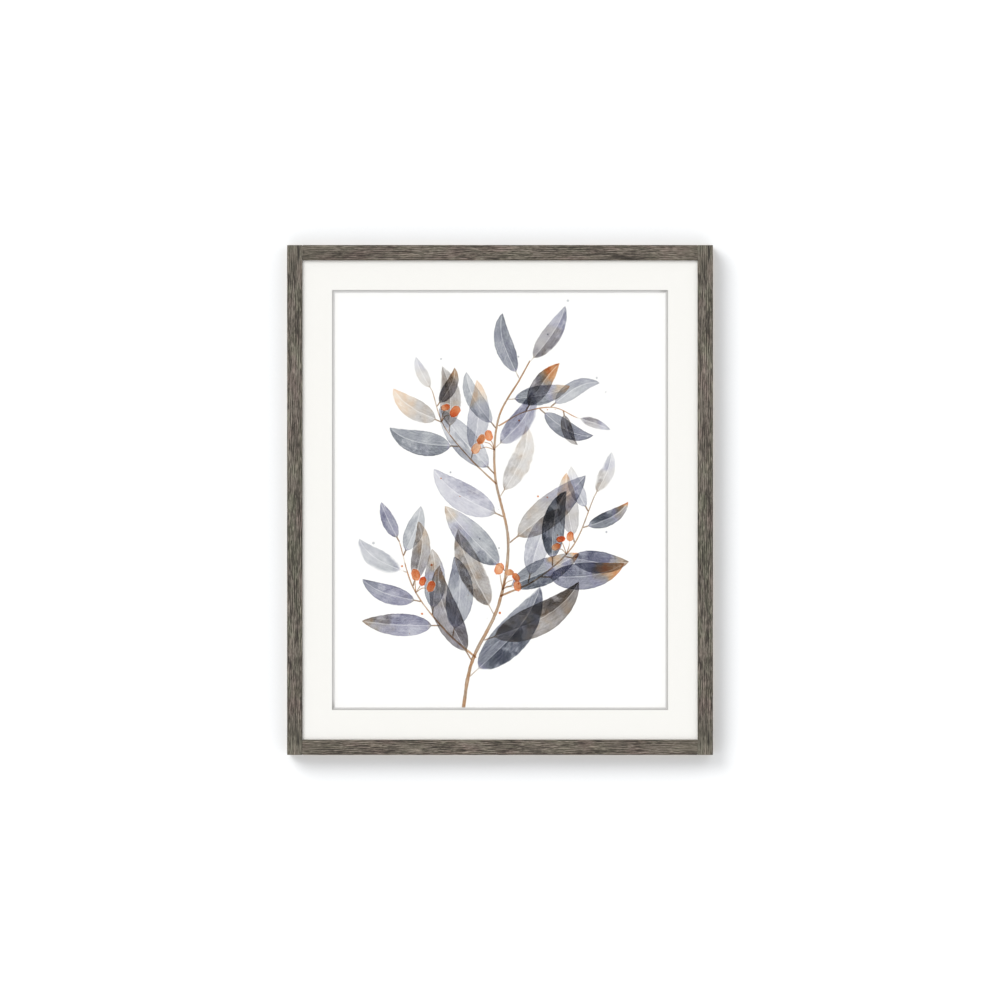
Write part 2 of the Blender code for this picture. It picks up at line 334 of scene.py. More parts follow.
def carve_member(name, along, seed):
    """One length of brushed driftwood moulding, with the grain in its surface."""
    mesh = member_mesh(name, along)
    low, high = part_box(name)
    co = triples(mesh.vertices, "co")
    normal = triples(mesh.vertex_normals, "vector")

    # s runs along the grain, a across the face and d back from it; t unrolls face and sides
    s = co[:, along] - low[along]
    a = co[:, 2 - along] - low[2 - along]
    d = co[:, 1] - FRONT_Y
    t = a + np.where(a > FACE / 2, d, -d)
    length = high[along] - low[along]
    to_end = np.minimum(s, length - s)
    finished, sawn, joint, near_joint = surfaces(name, a, d, to_end)

    grain = grain_field(s, t, seed)
    cracks = crack_field(s, a, length) * (d < EASED) if name in STILES else np.zeros_like(s)
    end_grain = layered(a / (1.1 * MM), d / (0.8 * MM), seed + 61, 2)
    grain = np.where(sawn, 0.55 * end_grain, grain)
    sink = BRUSHED * (1 - grain) + 2.2 * BRUSHED * cracks
    closed = close_joint(co, name, along, joint, to_end, a, d)
    normal[closed] = (0, -1, 0)
    co -= normal * (sink * finished * np.where(sawn, 0.3, 1.0))[:, None]
    mesh.vertices.foreach_set("co", co.astype(np.float32).ravel())

    from_outer = a if outer_at_low(name) else FACE - a
    corner = np.where(near_joint, from_outer, np.minimum(a, FACE - a)) + d
    # painted shade within about a millimetre of the front edges, and darker end grain on the sawn
    # ends
    edge_shade_and_end_grain = np.maximum(np.exp(-corner / (1.1 * MM)), 0.8 * sawn) * finished * ~joint
    tone = layered(s / (34 * MM), t / (8 * MM), seed + 41, 3)
    calm = smoothstep(52 * MM, 12 * MM, to_end)  # calmer, greener wood towards the ends
    rings = np.hypot(a - 0.3 * FACE, d - 1.7 * FACE)  # growth rings, as the sawn ends show them
    turn = 2.5 * np.arctan2(a - 0.3 * FACE, 1.7 * FACE - d) * FACE
    warmth = np.full_like(s, 1.0 if name in RAILS else 0.0)
    attribute(mesh, "lay", np.where(sawn, turn, s), np.where(sawn, rings, t),
              np.full_like(s, seed * 0.037))
    attribute(mesh, "wood", grain, cracks, tone)
    attribute(mesh, "trim", (~finished).astype(float), edge_shade_and_end_grain, warmth)
    attribute(mesh, "calm", calm)
    weld(mesh)
    member_uv(mesh, along, low, high)
    mesh.shade_smooth()
    mesh.set_sharp_from_angle(angle=math.radians(38))
    return mesh


def weld(mesh):
    """Joins the points that the carving brought together, so that no sliver is left."""
    bm = bmesh.new()
    bm.from_mesh(mesh)
    bmesh.ops.remove_doubles(bm, verts=bm.verts, dist=WELDED)
    bm.to_mesh(mesh)
    bm.free()


def close_joint(co, name, along, joint, to_end, a, d):
    """Squares the softened edges where a rail meets a stile, so that no groove shows."""
    rounding = 0.4 * MM
    softened = (d > HAIR) & (d < rounding)
    across = 2 - along
    if name in STILES:
        closed = joint & softened & (to_end > EASED)
        co[closed, across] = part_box(name)[1 if name == STILES[0] else 0][across]
    else:
        middle = (co[:, along].min() + co[:, along].max()) / 2
        outward = np.sign(co[:, along] - middle)
        edge = np.minimum(a, FACE - a) > EASED
        closed = softened & edge & (to_end < rounding) & (to_end > HAIR)
        pressed = to_end < 0.01 * MM  # the flat of the end
        co[:, along] += outward * (JOINT * (pressed | closed) + to_end * closed)
    co[closed, 1] = FRONT_Y
    return closed


def member_uv(mesh, along, low, high):
    """An unrolled map for baking: the four sides as bands along the length, ends in a fifth."""
    count = len(mesh.loops)
    index = np.empty(count, np.int32)
    mesh.loops.foreach_get("vertex_index", index)
    sizes = np.empty(len(mesh.polygons), np.int32)
    mesh.polygons.foreach_get("loop_total", sizes)
    n = np.repeat(triples(mesh.polygons, "normal"), sizes, axis=0)
    co = triples(mesh.vertices, "co")[index]
    across = 2 - along
    s = (co[:, along] - low[along]) / (high[along] - low[along])
    a = co[:, across] - low[across]
    d = co[:, 1] - low.y
    depth, margin = high.y - low.y, 2 * MM
    bands = np.array([FACE, FACE, depth, depth, depth]) + margin
    starts = np.concatenate([[0], np.cumsum(bands)])
    facing = np.argmax(np.abs(n), axis=1)
    side = np.where(facing == 1, np.where(n[:, 1] < 0, 0, 1),
                    np.where(facing == across, np.where(n[:, across] < 0, 2, 3), 4))
    run = np.where(side < 2, a, d)
    v = (starts[side] + margin / 2 + run) / starts[-1]
    end_u = np.where(n[:, along] < 0, 0.02, 0.52) + a / FACE * 0.4
    u = np.where(side == 4, end_u, 0.003 + 0.994 * s)
    layer = mesh.uv_layers.new(name="OFBake")
    layer.data.foreach_set("uv", np.stack([u, v], axis=1).astype(np.float32).ravel())


def grain_level(m, lay, wood, calm, fibre, streak):
    """The finish's light and dark, from the carved grooves and finer noise."""
    level = m.math("MULTIPLY_ADD", wood[0], 0.56, 0.22)
    level = m.math("MULTIPLY_ADD", m.math("SUBTRACT", streak, 0.5), 0.54, level)
    level = m.math("MULTIPLY_ADD", m.math("SUBTRACT", fibre, 0.5), 0.72, level)
    lines = m.noise(m.vector("MULTIPLY", lay, (60, 760, 5)), detail=1, roughness=0.6)
    level = m.math("ADD", m.between(lines, 0.38, 0.45, -0.20, 0.03), level)
    off = m.math("MULTIPLY", m.math("SUBTRACT", level, 0.60), m.math("MULTIPLY", calm, -0.36))
    level = m.math("ADD", level, off)
    return m.math("MULTIPLY_ADD", m.math("SUBTRACT", wood[2], 0.5), 0.34, level)


def finish_colour(m, lay, level, wood, trim, calm):
    """Grey-brown with greenish and mauve patches, dark pores and cracks, pale flecks, and painted
    shade along the front edges.
    """
    shade = m.ramp(level, [
        (0.14, colour(44, 40, 35)),
        (0.36, colour(70, 64, 57)),
        (0.50, colour(86, 80, 72)),
        (0.64, colour(102, 95, 86)),
        (0.84, colour(131, 123, 113)),
    ])
    patch = m.noise(m.vector("MULTIPLY", lay, (30, 70, 1)), detail=2, roughness=0.6)
    green = m.math("MAXIMUM", m.between(patch, 0.42, 0.62), m.math("MULTIPLY", calm, 0.6))
    green = m.math("MULTIPLY", green, m.math("MULTIPLY_ADD", trim[2], -0.5, 1.0))
    shade = m.mix(green, shade, m.mix(1.0, shade, (0.90, 1.0, 0.90, 1), "MULTIPLY"))
    mauve = m.noise(m.vector("MULTIPLY", lay, (26, 60, 3)), detail=2)
    shade = m.mix(m.between(mauve, 0.46, 0.66), shade,
                  m.mix(1.0, shade, (1.08, 0.99, 1.03, 1), "MULTIPLY"))

    pores = m.noise(m.vector("MULTIPLY", lay, (130, 1150, 1)), detail=1)
    pores = m.between(pores, 0.63, 0.72)
    shade = m.mix(m.math("MULTIPLY", pores, 0.5), shade, colour(46, 40, 34))
    flecks = m.noise(m.vector("MULTIPLY", lay, (90, 1000, 7)), detail=1)
    flecks = m.math("MULTIPLY", m.between(flecks, 0.62, 0.70), m.between(patch, 0.35, 0.6))
    shade = m.mix(m.math("MULTIPLY", flecks, 0.62), shade, colour(158, 149, 137))
    shade = m.mix(m.math("MULTIPLY", wood[1], 0.92), shade, colour(28, 24, 20))
    # painted shade along the front edges, and darker end grain on the sawn ends
    shade = m.mix(m.math("MULTIPLY", trim[1], 0.3), shade, colour(60, 54, 47))
    shade = m.mix(trim[2], shade, m.mix(1.0, shade, (1.0, 0.975, 0.955, 1), "MULTIPLY"))
    return shade, pores


def raw_pine(m, lay):
    """Pale softwood with a few brown specks."""
    pine = m.noise(m.vector("MULTIPLY", lay, (14, 420, 1)), detail=4, roughness=0.6, distortion=0.8)
    raw = m.ramp(pine, [
        (0.30, colour(164, 139, 108)),
        (0.52, colour(189, 166, 134)),
        (0.75, colour(203, 184, 155)),
    ])
    speck = m.between(m.noise(m.vector("MULTIPLY", lay, (180, 900, 9)), detail=2), 0.62, 0.72)
    return m.mix(m.math("MULTIPLY", speck, 0.35), raw, colour(146, 113, 78))


def driftwood():
    """Brushed wood with a grey-brown finish, and raw pine where that doesn't reach."""
    m = Shader("driftwood")
    lay = m.attr("lay")  # along the grain, across it, and a shift of the noise by the seed
    wood = m.split(m.attr("wood"))  # ridge, crack, slow light and dark
    trim = m.split(m.attr("trim"))  # raw, painted shade along the front edges and darker sawn end grain, on a rail
    calm = m.split(m.attr("calm"))[0]
    fibre = m.noise(m.vector("MULTIPLY", lay, (340, 1150, 1)), detail=4, roughness=0.65)
    streak = m.noise(m.vector("MULTIPLY", lay, (60, 820, 1)), detail=3, distortion=0.4)
    level = grain_level(m, lay, wood, calm, fibre, streak)
    shade, pores = finish_colour(m, lay, level, wood, trim, calm)
    m.set(Base_Color=m.mix(trim[0], shade, raw_pine(m, lay)))

    rough = m.between(level, 0.2, 0.8, 0.78, 0.58, smooth=False)
    m.set(Roughness=m.math("MULTIPLY_ADD", pores, 0.1, rough))
    m.set(Specular_IOR_Level=0.3)
    relief = m.math("MULTIPLY_ADD", fibre, 0.5, m.math("MULTIPLY", pores, -0.8))
    relief = m.math("MULTIPLY_ADD", streak, 0.5, relief)
    m.bump(relief, 0.25 * MM, 0.8)
    return m.material


MEMBERS = (  # the axis that each length's grain runs along, and the seed of its grain
    (STILES[0], 2, 1109),
    (STILES[1], 2, 1109),
    (RAILS[0], 0, 275),
    (RAILS[1], 0, 920),
)


def build_frame():
    wood = driftwood()
    for name, along, seed in MEMBERS:
        mesh = carve_member(name, along, seed)
        mesh.materials.clear()
        mesh.materials.append(wood)
        piece = bpy.data.objects.new(mesh.name, mesh)
        bpy.context.scene.collection.objects.link(piece)
        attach(piece, "root")
        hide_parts(name)


# ---------------------------------------------------------------- mat board and glazing

MAT_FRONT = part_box("mat_board")[0].y
MAT_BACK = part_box("mat_board")[1].y
BEVEL_PAINTED_SHADE = (0.70, 0.697, 0.69, 1)  # painted shade: the bevel's two sides that face the light are painted this much darker
RIGHT_BEVEL = (0.190, 0.198)  # from the first x to the second, the painted shade comes in
LOWER_BEVEL = (-0.540, -0.548)  # and from the first z to the second


def mat_paper():
    """White conservation board: toothed facing paper over inner plies with a faint cream tint that
    show in the bevel, where they are painted grey as painted shade, darkest at the bevel's front
    edge, lighter towards the back, and darker on the two sides that face the light.
    """
    m = Shader("mat_paper")
    where = m.place()
    x, y, z = m.split(where)
    inward = m.math("DIVIDE", m.math("SUBTRACT", y, MAT_FRONT), MAT_BACK - MAT_FRONT)
    tooth = m.noise(where, 900, detail=4, roughness=0.6)
    felt = m.noise(where, 210, detail=3)
    face = m.ramp(tooth, [(0.3, (0.758, 0.751, 0.726, 1)), (0.7, (0.782, 0.776, 0.752, 1))])
    warm = m.between(m.noise(where, 9, detail=2), 0.35, 0.7, 0, 0.35)
    face = m.mix(warm, face, (0.773, 0.764, 0.736, 1))
    # painted shade: the bevel is painted grey, darkest at its front edge and lighter towards the
    # back
    core_and_painted_shade = m.ramp(inward, [
        (0.02, (0.475, 0.471, 0.462, 1)),
        (0.30, (0.500, 0.496, 0.487, 1)),
        (0.65, (0.645, 0.640, 0.636, 1)),
        (1.00, (0.766, 0.762, 0.758, 1)),
    ])
    plies = m.noise(m.vector("MULTIPLY", where, (60, 4200, 60)), detail=2)
    core_and_painted_shade = m.mix(m.between(plies, 0.4, 0.7, 0, 0.12), core_and_painted_shade, (0.540, 0.523, 0.488, 1))
    # painted shade: the right and lower bevels, which face the light, are painted darker
    painted_shade_sides = m.math("MAXIMUM", m.between(x, *RIGHT_BEVEL), m.between(z, *LOWER_BEVEL))
    core_and_painted_shade = m.mix(m.math("MULTIPLY", painted_shade_sides, 0.8), core_and_painted_shade, m.mix(1.0, core_and_painted_shade, BEVEL_PAINTED_SHADE, "MULTIPLY"))
    m.set(Base_Color=m.mix(m.between(inward, 0.0, 0.03), face, core_and_painted_shade))
    m.set(Roughness=m.between(tooth, 0.3, 0.7, 0.88, 0.8))
    m.set(Specular_IOR_Level=0.25)
    m.bump(m.math("MULTIPLY_ADD", felt, 0.6, tooth), 0.12 * MM, 0.5)
    return m.material


def clear_acrylic():
    """A thin low-glare pane: see-through, with a faint reflection."""
    m = Shader("clear_acrylic")
    m.tree.nodes.remove(m.bsdf)
    haze = m.noise(m.place(), 6, detail=2)
    see_through = m.node("ShaderNodeBsdfTransparent", {"Color": (0.993, 0.993, 0.992, 1)})
    shine = m.node("ShaderNodeBsdfGlossy", {"Color": (1, 1, 1, 1),
                                            "Roughness": m.between(haze, 0.3, 0.7, 0.05, 0.09)})
    leaving = m.node("ShaderNodeNewGeometry").outputs["Backfacing"]
    share = m.math("MULTIPLY", m.node("ShaderNodeFresnel", {"IOR": 1.2}),
                   m.math("SUBTRACT", 1.0, leaving))
    both = m.node("ShaderNodeMixShader", {0: share, 1: see_through, 2: shine})
    m.plug(m.output.inputs["Surface"], both)
    return m.material


def paint(name, material):
    """Gives a CAD node that stays as it is its own finish."""
    mesh = NODES[name].data
    mesh.materials.clear()
    mesh.materials.append(material)


# ---------------------------------------------------------------- the watercolour's shapes

# A design in millimetres from the middle of the mat's window: x right, z up.

RANDOM = np.random.default_rng(41)
SLATE, VIOLET, WARM, TAN, RUST = 0.0, 0.25, 0.5, 0.75, 1.0
CURVE_POINTS = 60


def curve(points):
    """A smooth line through some points (Catmull-Rom)."""
    p = np.array(points, float)
    p = np.vstack([2 * p[0] - p[1], p, 2 * p[-1] - p[-2]])
    spans = len(p) - 3
    where = np.linspace(0, spans - 1e-9, CURVE_POINTS)
    i = where.astype(int)
    t = (where - i)[:, None]
    a, b, c, d = p[i], p[i + 1], p[i + 2], p[i + 3]
    return 0.5 * (2 * b + (c - a) * t + (2 * a - 5 * b + 4 * c - d) * t**2
                  + (3 * b - a - 3 * c + d) * t**3)


def shape(line, half, density, hue, **more):
    """One brush mark: a centre line, its half widths, and how the paint lies in it."""
    made = dict(line=line, half=half, density=density, hue=hue, dry=0.0, soft=0.35, glaze=0.0,
                fade=0.0, tip_hue=hue, masks=False)
    made.update(more)
    return made


def leaf(x, z, angle, length, width, bend, density, hue, **more):
    """A willow-shaped leaf on a short stalk; angle and bend in degrees."""
    n = 40
    u = np.linspace(0, 1, n)
    heading = np.radians(angle + bend * (u - 0.35 * np.sin(math.pi * u)))
    step = length / (n - 1)
    line = np.stack([x + np.cumsum(np.cos(heading)) * step,
                     z + np.cumsum(np.sin(heading)) * step], axis=1)
    blade = np.clip((u - 0.10) / 0.90, 0, 1)
    profile = blade**0.62 * (1 - blade) ** 0.85
    half = width / 2 * profile / profile.max()
    stalk = 0.85 * smoothstep(0.3, 0.05, u)
    return shape(line, np.maximum(half, stalk), density, hue, **more)


def berry(x, z, radius, density, hue, **more):
    turn = RANDOM.uniform(0, math.pi)
    reach = 0.35 * radius * np.array([math.cos(turn), math.sin(turn)])
    line = np.array([[x, z] - reach, [x, z] + reach])
    return shape(line, np.full(2, 0.83 * radius), density, hue, masks=True, **more)


def stroke(points, start, end, density, hue, **more):
    line = curve(points)
    half = np.linspace(start, end, len(line)) / 2
    return shape(line, half, density, hue, **more)


def point_on(line, share):
    """The point at some share of a line's length and the line's heading there, in degrees."""
    steps = np.linalg.norm(np.diff(line, axis=0), axis=1)
    run = np.concatenate([[0], np.cumsum(steps)]) / steps.sum()
    x, z = [np.interp(share, run, line[:, k]) for k in (0, 1)]
    i = min(np.searchsorted(run, share), len(line) - 1)
    ahead = line[i] - line[i - 1]
    return x, z, math.degrees(math.atan2(ahead[1], ahead[0]))


def leaves_on(line, first, last, count, length, width, side=1):
    """Leaves in turn on the two sides of a twig, shorter towards its tip."""
    made = []
    for k, share in enumerate(np.linspace(first, last, count)):
        side = -side
        x, z, heading = point_on(line, min(share + RANDOM.uniform(-0.015, 0.015), 1))
        taper = 1 - 0.42 * (share - first) / max(last - first, 0.01)
        size = taper * RANDOM.uniform(0.82, 1.14)
        spread = RANDOM.uniform(34, 58) if k < count - 1 else RANDOM.uniform(4, 16)
        pale = RANDOM.random() < 0.3
        density = RANDOM.uniform(0.26, 0.42) if pale else RANDOM.uniform(0.5, 1.08)
        hue = RANDOM.choice([0.0, 0.06, 0.14, 0.24, 0.42, 0.5])
        made.append(leaf(
            x, z, heading + side * spread, length * size, width * size * RANDOM.uniform(0.85, 1.1),
            -side * RANDOM.uniform(8, 48), density, hue,
            tip_hue=RANDOM.choice([hue, hue, 0.1, 0.6, 0.8]),
            glaze=RANDOM.choice([-1, 1]) * RANDOM.uniform(0.2, 0.75),
            dry=RANDOM.choice([0, 0, 0, 0.35, 0.55]),
            soft=RANDOM.choice([0.3, 0.35, 0.4, 0.5, 1.6]),
            fade=RANDOM.uniform(-0.5, 0.65),
        ))
    return made


def berries_on(line, share, reach, spread):
    """A spray of round seed cases on thin stalks that leave a twig together."""
    made = []
    x, z, heading = point_on(line, share)
    for turn in spread:
        angle = math.radians(heading + turn)
        length = reach * RANDOM.uniform(0.7, 1.2)
        end = np.array([x + math.cos(angle) * length, z + math.sin(angle) * length])
        middle = [(x + end[0]) / 2 + RANDOM.uniform(-2, 2), (z + end[1]) / 2 + 2.5]
        made.append(stroke([(x, z), middle, end], 1.3, 0.8, 0.8, 0.68, soft=0.25, dry=0.2))
        radius = RANDOM.uniform(4.4, 6.6)
        centre = end + radius * np.array([math.cos(angle), math.sin(angle)])
        made.append(berry(*centre, radius, RANDOM.uniform(0.5, 1.15),
                          RANDOM.choice([1.0, 1.0, 0.94, 0.86]), soft=0.4,
                          fade=RANDOM.uniform(-0.5, 0.4)))
    return made


def design():
    """A tall sprig of willow-leaved gum that leans through the window, with seed cases."""
    main = stroke([(-46, -262), (-34, -196), (-2, -128), (10, -50), (-6, 30), (-2, 98), (24, 146),
                   (36, 168)], 4.6, 1.4, 0.95, 0.66, dry=0.35, soft=0.3)
    low_left = stroke([(-30, -190), (-66, -158), (-104, -108), (-122, -50)], 2.6, 1.1, 0.8, 0.68,
                      dry=0.15)
    low_right = stroke([(1, -116), (44, -96), (88, -56), (114, 4)], 2.6, 1.1, 0.85, 0.64, dry=0.15)
    high_left = stroke([(-5, 20), (-36, 50), (-68, 90), (-82, 132)], 2.2, 1.0, 0.8, 0.68, dry=0.15)
    high_right = stroke([(-1, 90), (28, 106), (64, 112), (92, 100)], 1.9, 1.0, 0.75, 0.7, dry=0.15)
    shapes = [main, low_left, low_right, high_left, high_right]
    shapes += leaves_on(main["line"], 0.09, 1.0, 15, 132, 40)
    shapes += leaves_on(low_left["line"], 0.2, 1.0, 8, 100, 32)
    shapes += leaves_on(low_right["line"], 0.2, 1.0, 8, 104, 34, side=-1)
    shapes += leaves_on(high_left["line"], 0.3, 1.0, 6, 88, 28)
    shapes += leaves_on(high_right["line"], 0.35, 1.0, 5, 78, 25, side=-1)
    shapes += berries_on(main["line"], 0.36, 18, (-64, -34, -8, 22))
    shapes += berries_on(low_right["line"], 0.55, 15, (30, 62, 96))
    shapes += berries_on(low_left["line"], 0.62, 14, (-30, -62, -98))
    shapes += berries_on(main["line"], 0.74, 14, (24, 54, 88))
    shapes += berries_on(high_left["line"], 0.72, 12, (-40, -78))
    return shapes


# ---------------------------------------------------------------- the watercolour's sheet

CELL = 1.5  # mm between the points that carry the paint
REACH = 6.0  # mm round a shape in which its paint is laid out
FAR = -20.0  # the depth stored where no mark is near
HIDDEN = 13.5  # mm of the sheet's rim, under the mat, that get no fine cells
MASKING = 0.8  # how much other paint was kept off the seed cases


def sheet_grid():
    """The x and z lines of the sheet's front in mm from its middle: fine where it shows."""
    low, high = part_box("print_sheet")
    half_x, half_z = [(high[k] - low[k]) / 2 / MM for k in (0, 2)]
    show_x, show_z = half_x - HIDDEN, half_z - HIDDEN
    xs = np.linspace(-show_x, show_x, round(2 * show_x / CELL) + 1)
    zs = np.linspace(-show_z, show_z, round(2 * show_z / CELL) + 1)
    return (np.concatenate([[-half_x], xs, [half_x]]), np.concatenate([[-half_z], zs, [half_z]]))


def lay_out(mark, xs, zs):
    """A mark's depth inside its edge, run along it and offset across it, at the points near it."""
    line, half = mark["line"], mark["half"]
    room = half.max() + REACH
    cols = np.flatnonzero((xs > line[:, 0].min() - room) & (xs < line[:, 0].max() + room))
    rows = np.flatnonzero((zs > line[:, 1].min() - room) & (zs < line[:, 1].max() + room))
    if not len(cols) or not len(rows):
        return None
    gx, gz = np.meshgrid(xs[cols], zs[rows])
    best = np.full(gx.shape, np.inf)
    run, offset, wide = np.zeros_like(gx), np.zeros_like(gx), np.zeros_like(gx)
    start = 0.0
    for (p, q), (h0, h1) in zip(zip(line[:-1], line[1:]), zip(half[:-1], half[1:])):
        step = q - p
        length = max(np.linalg.norm(step), 1e-6)
        unit = step / length
        ahead = np.clip((gx - p[0]) * unit[0] + (gz - p[1]) * unit[1], 0, length)
        dx, dz = gx - p[0] - unit[0] * ahead, gz - p[1] - unit[1] * ahead
        away = np.hypot(dx, dz)
        side = unit[0] * (gz - p[1]) - unit[1] * (gx - p[0])
        closer = away < best
        best = np.where(closer, away, best)
        run = np.where(closer, start + ahead, run)
        offset = np.where(closer, np.sign(side) * away, offset)
        wide = np.where(closer, h0 + (h1 - h0) * ahead / length, wide)
        start += length
    return dict(rows=rows, cols=cols, depth=wide - best, run=run, offset=offset, wide=wide,
                x=gx, z=gz, length=start)


def wash(mark, laid, number):
    """How strong and which colour the paint is over a mark, in slow wet drifts."""
    x, z, share = laid["x"], laid["z"], laid["run"] / laid["length"]
    drift = layered(x / 21 + 7 * number, z / 21, 300 + number, 3, 0.6)
    pool = layered(x / 9 + 3 * number, z / 9, 500 + number, 2)
    density = mark["density"] * (0.42 + 0.82 * drift + 0.38 * pool)
    density *= 1 + mark["fade"] * (0.5 - share)
    blend = smoothstep(0.45, 1.0, share + 0.7 * (drift - 0.5))
    hue = mark["hue"] + (mark["tip_hue"] - mark["hue"]) * blend + 0.16 * (pool - 0.5)
    if mark["glaze"]:  # a leaf's stalk is as dark and brown as the twigs
        stalk = smoothstep(0.17, 0.07, share)
        density = density * (1 - stalk) + 0.85 * stalk
        hue = hue * (1 - stalk) + 0.62 * stalk
    dry = mark["dry"] * smoothstep(0.3, 0.9, share + 0.5 * (pool - 0.5))
    soft = mark["soft"] * (0.6 + 2.4 * smoothstep(0.55, 0.8, drift))
    return density, np.clip(hue, 0, 1), dry, soft


def share_layers(marks, xs, zs):
    """Puts the marks on as few layers as will do, with no two near each other on the same one."""
    layers = []
    masked = np.zeros((len(zs), len(xs)))
    for number, mark in enumerate(marks):
        laid = lay_out(mark, xs, zs)
        if laid is None:
            continue
        rows, cols = np.ix_(laid["rows"], laid["cols"])
        near = laid["depth"] > -0.6 * REACH
        free = [k for k, taken in enumerate(layers) if not (taken["near"][rows, cols] & near).any()]
        if not free:
            layers.append(empty_layer(len(zs), len(xs)))
            free = [len(layers) - 1]
        layer = layers[free[0]]
        layer["near"][rows, cols] |= near
        density, hue, dry, soft = wash(mark, laid, number)
        if mark["masks"]:
            kept = smoothstep(-0.6, 0.6, laid["depth"])
            masked[rows, cols] = np.maximum(masked[rows, cols], kept)
            density = density / (1 - MASKING * kept)
        nearer = laid["depth"] > layer["place"][rows, cols, 0]
        glaze = np.full_like(density, mark["glaze"])
        for key, parts in (
            ("place", (laid["depth"], laid["run"] + 170.0 * number, laid["offset"])),
            ("paint", (density, hue, dry)),
            ("edge", (laid["wide"], soft, glaze)),
        ):
            block = layer[key][rows, cols]
            block[nearer] = np.stack(parts, axis=-1)[nearer]
            layer[key][rows, cols] = block
    for layer in layers:
        layer["paint"][..., 0] *= 1 - MASKING * masked
    return layers


def empty_layer(rows, cols):
    layer = {key: np.zeros((rows, cols, 3)) for key in ("place", "paint", "edge")}
    layer["place"][..., 0] = FAR
    layer["near"] = np.zeros((rows, cols), bool)
    return layer


def sheet_mesh(xs, zs):
    """The print: a fine front that cockles a little, a plain back and thin edges."""
    low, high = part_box("print_sheet")
    middle = (low + high) / 2
    cols, rows = len(xs), len(zs)
    gx, gz = np.meshgrid(xs, zs)
    cockle = 0.16 * layered(gx / 75, gz / 95, 77, 2)
    front = np.stack([middle.x + gx * MM, low.y + cockle * MM, middle.z + gz * MM], axis=-1)
    points = front.reshape(-1, 3)
    count = len(points)
    index = np.arange(count).reshape(rows, cols)
    quads = np.stack([index[:-1, :-1], index[:-1, 1:], index[1:, 1:], index[1:, :-1]], axis=-1)
    faces = quads.reshape(-1, 4).tolist()

    rim = np.concatenate([index[0], index[1:, -1], index[-1, -2::-1], index[-2:0:-1, 0]])
    back = points[rim].copy()
    back[:, 1] = high.y
    n = len(rim)
    for i in range(n):
        j = (i + 1) % n
        faces.append([int(rim[i]), int(count + i), int(count + j), int(rim[j])])
    faces.append([count + i for i in range(n - 1, -1, -1)])

    mesh = bpy.data.meshes.new("watercolour_print")
    mesh.from_pydata(np.concatenate([points, back]).tolist(), [], faces)
    mesh.update()
    sheet_uv(mesh, xs, zs, len(quads.reshape(-1, 4)))
    return mesh, count + n


def sheet_uv(mesh, xs, zs, fronts):
    """The front over most of the bake, even in steps of the grid; the rest along its top."""
    index = np.empty(len(mesh.loops), np.int32)
    mesh.loops.foreach_get("vertex_index", index)
    col = index % len(xs)
    row = index // len(xs)
    uv = np.stack([0.004 + 0.992 * col / (len(xs) - 1),
                   0.004 + 0.955 * row / (len(zs) - 1)], axis=1)
    co = triples(mesh.vertices, "co")[index]
    low, high = co.min(axis=0), co.max(axis=0)
    rest = np.arange(len(index)) >= 4 * fronts
    across = (co[:, 0] - low[0]) / (high[0] - low[0])
    up = (co[:, 2] - low[2]) / (high[2] - low[2])
    uv[rest, 0] = 0.01 + 0.98 * across[rest]
    uv[rest, 1] = 0.968 + 0.028 * up[rest]
    layer = mesh.uv_layers.new(name="OFBake")
    layer.data.foreach_set("uv", uv.astype(np.float32).ravel())


PIGMENT_SCALE = 3.2  # keeps the colours in a ramp between 0 and 1
PIGMENTS = [  # how much of red, green and blue each paint takes up at full strength
    (SLATE, (1.585, 1.500, 1.355)),
    (VIOLET, (1.300, 1.290, 0.990)),
    (WARM, (1.187, 1.262, 1.309)),
    (TAN, (0.494, 1.044, 1.670)),
    (RUST, (0.397, 1.858, 3.100)),
]


def second_glaze(m, glaze, bent, there):
    """A patchy second coat over one half of a leaf."""
    half = m.between(m.math("MULTIPLY", bent, m.math("SIGN", glaze)), -0.22, 0.22)
    patchy = m.between(m.noise(there, 0.075, detail=2), 0.38, 0.52)
    return m.math("MULTIPLY", m.math("MULTIPLY", half, patchy), m.math("ABSOLUTE", glaze))


def lifted_veins(m, is_leaf, bent, run, wander, wide):
    """How much paint was lifted along a leaf's midrib and its side veins."""
    rib = m.between(m.math("ABSOLUTE", bent), 0.16, 0.55, 0.6, 0.0)
    side = m.math("MULTIPLY_ADD", m.math("ABSOLUTE", bent), 1.25, run)
    wave = m.math("MULTIPLY_ADD", wander, 0.5, m.math("MULTIPLY", side, 0.165))
    wave = m.math("ABSOLUTE", m.math("SUBTRACT", m.math("FRACT", wave), 0.5))
    vein = m.between(wave, 0.015, 0.075, 0.2, 0.0)
    lifted = m.math("MULTIPLY", m.math("MAXIMUM", rib, vein), is_leaf)
    return m.math("MULTIPLY", lifted, m.between(wide, 1.5, 3.5))


